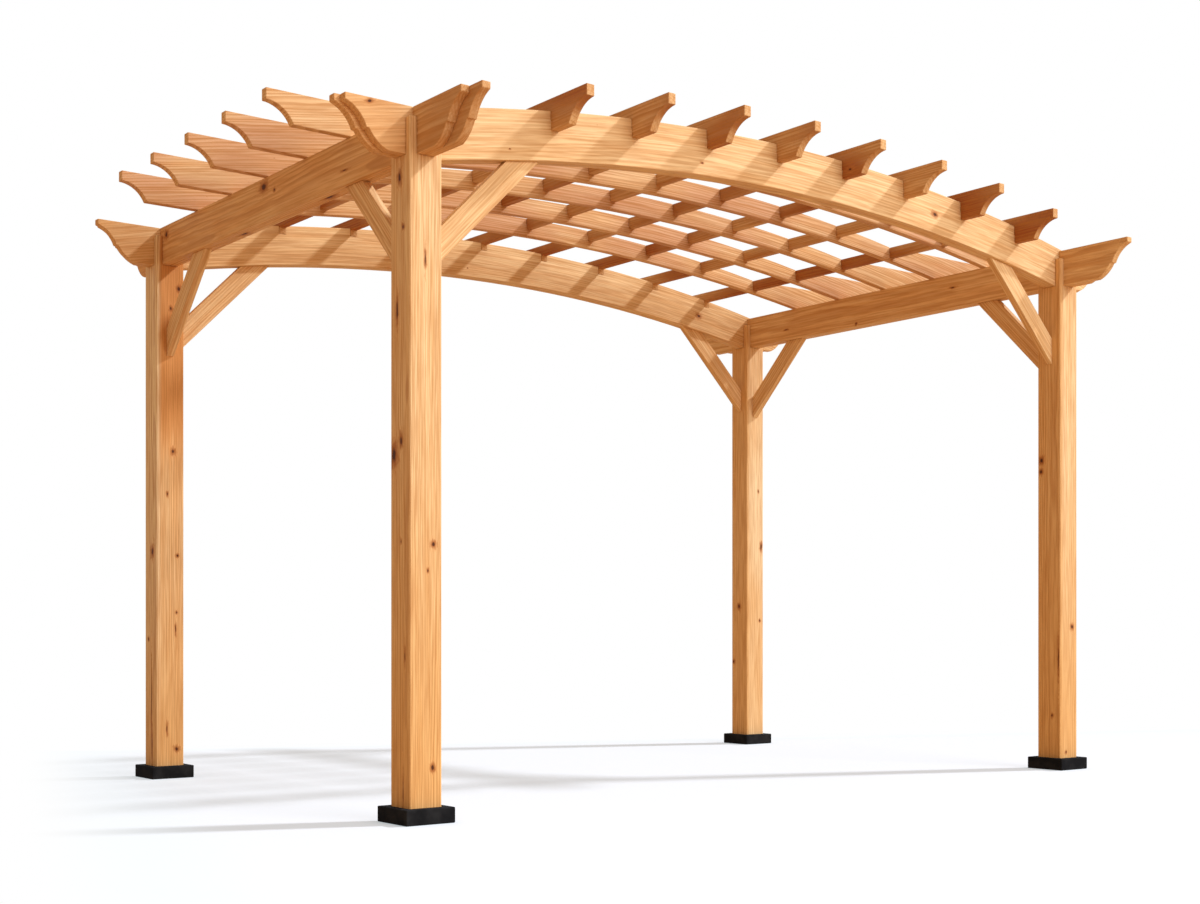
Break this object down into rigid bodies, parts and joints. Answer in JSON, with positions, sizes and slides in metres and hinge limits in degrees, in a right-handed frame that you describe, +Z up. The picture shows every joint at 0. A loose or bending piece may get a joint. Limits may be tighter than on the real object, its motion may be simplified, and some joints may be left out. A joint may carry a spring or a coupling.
{
  "type": "garden pergola",
  "caption": "Free-standing timber pergola with arched front and back, an open roof lattice of coved boards, knee braces and square posts in black shoes.",
  "frame": {"origin": "on the ground at the middle of the plan, halfway between the four posts", "axes": "+X along the arched front to the right as seen from the front, +Y from front to back, +Z up"},
  "size_m": [4.71, 3.28, 2.9388],
  "materials": {
    "cedar": "satin",
    "shoe_black": "matte"
  },
  "bodies": {
    "root": {"shoe_front_left": "shoe_black", "shoe_front_right": "shoe_black", "shoe_back_left": "shoe_black", "shoe_back_right": "shoe_black", "post_front_left": "cedar", "post_front_right": "cedar", "post_back_left": "cedar", "post_back_right": "cedar", "arch_brace_front_left": "cedar", "arch_brace_front_right": "cedar", "arch_brace_back_left": "cedar", "arch_brace_back_right": "cedar", "beam_brace_front_left": "cedar", "beam_brace_front_right": "cedar", "beam_brace_back_left": "cedar", "beam_brace_back_right": "cedar", "arch_front_outer": "cedar", "arch_front_inner": "cedar", "arch_back_outer": "cedar", "arch_back_inner": "cedar", "beam_left_outer": "cedar", "beam_left_inner": "cedar", "beam_right_outer": "cedar", "beam_right_inner": "cedar", "purlin_1": "cedar", "purlin_2": "cedar", "purlin_3": "cedar", "purlin_4": "cedar", "purlin_5": "cedar", "purlin_6": "cedar", "purlin_7": "cedar", "purlin_8": "cedar", "rafter_1": "cedar", "rafter_2": "cedar", "rafter_3": "cedar", "rafter_4": "cedar", "rafter_5": "cedar"}
  },
  "joints": []
}
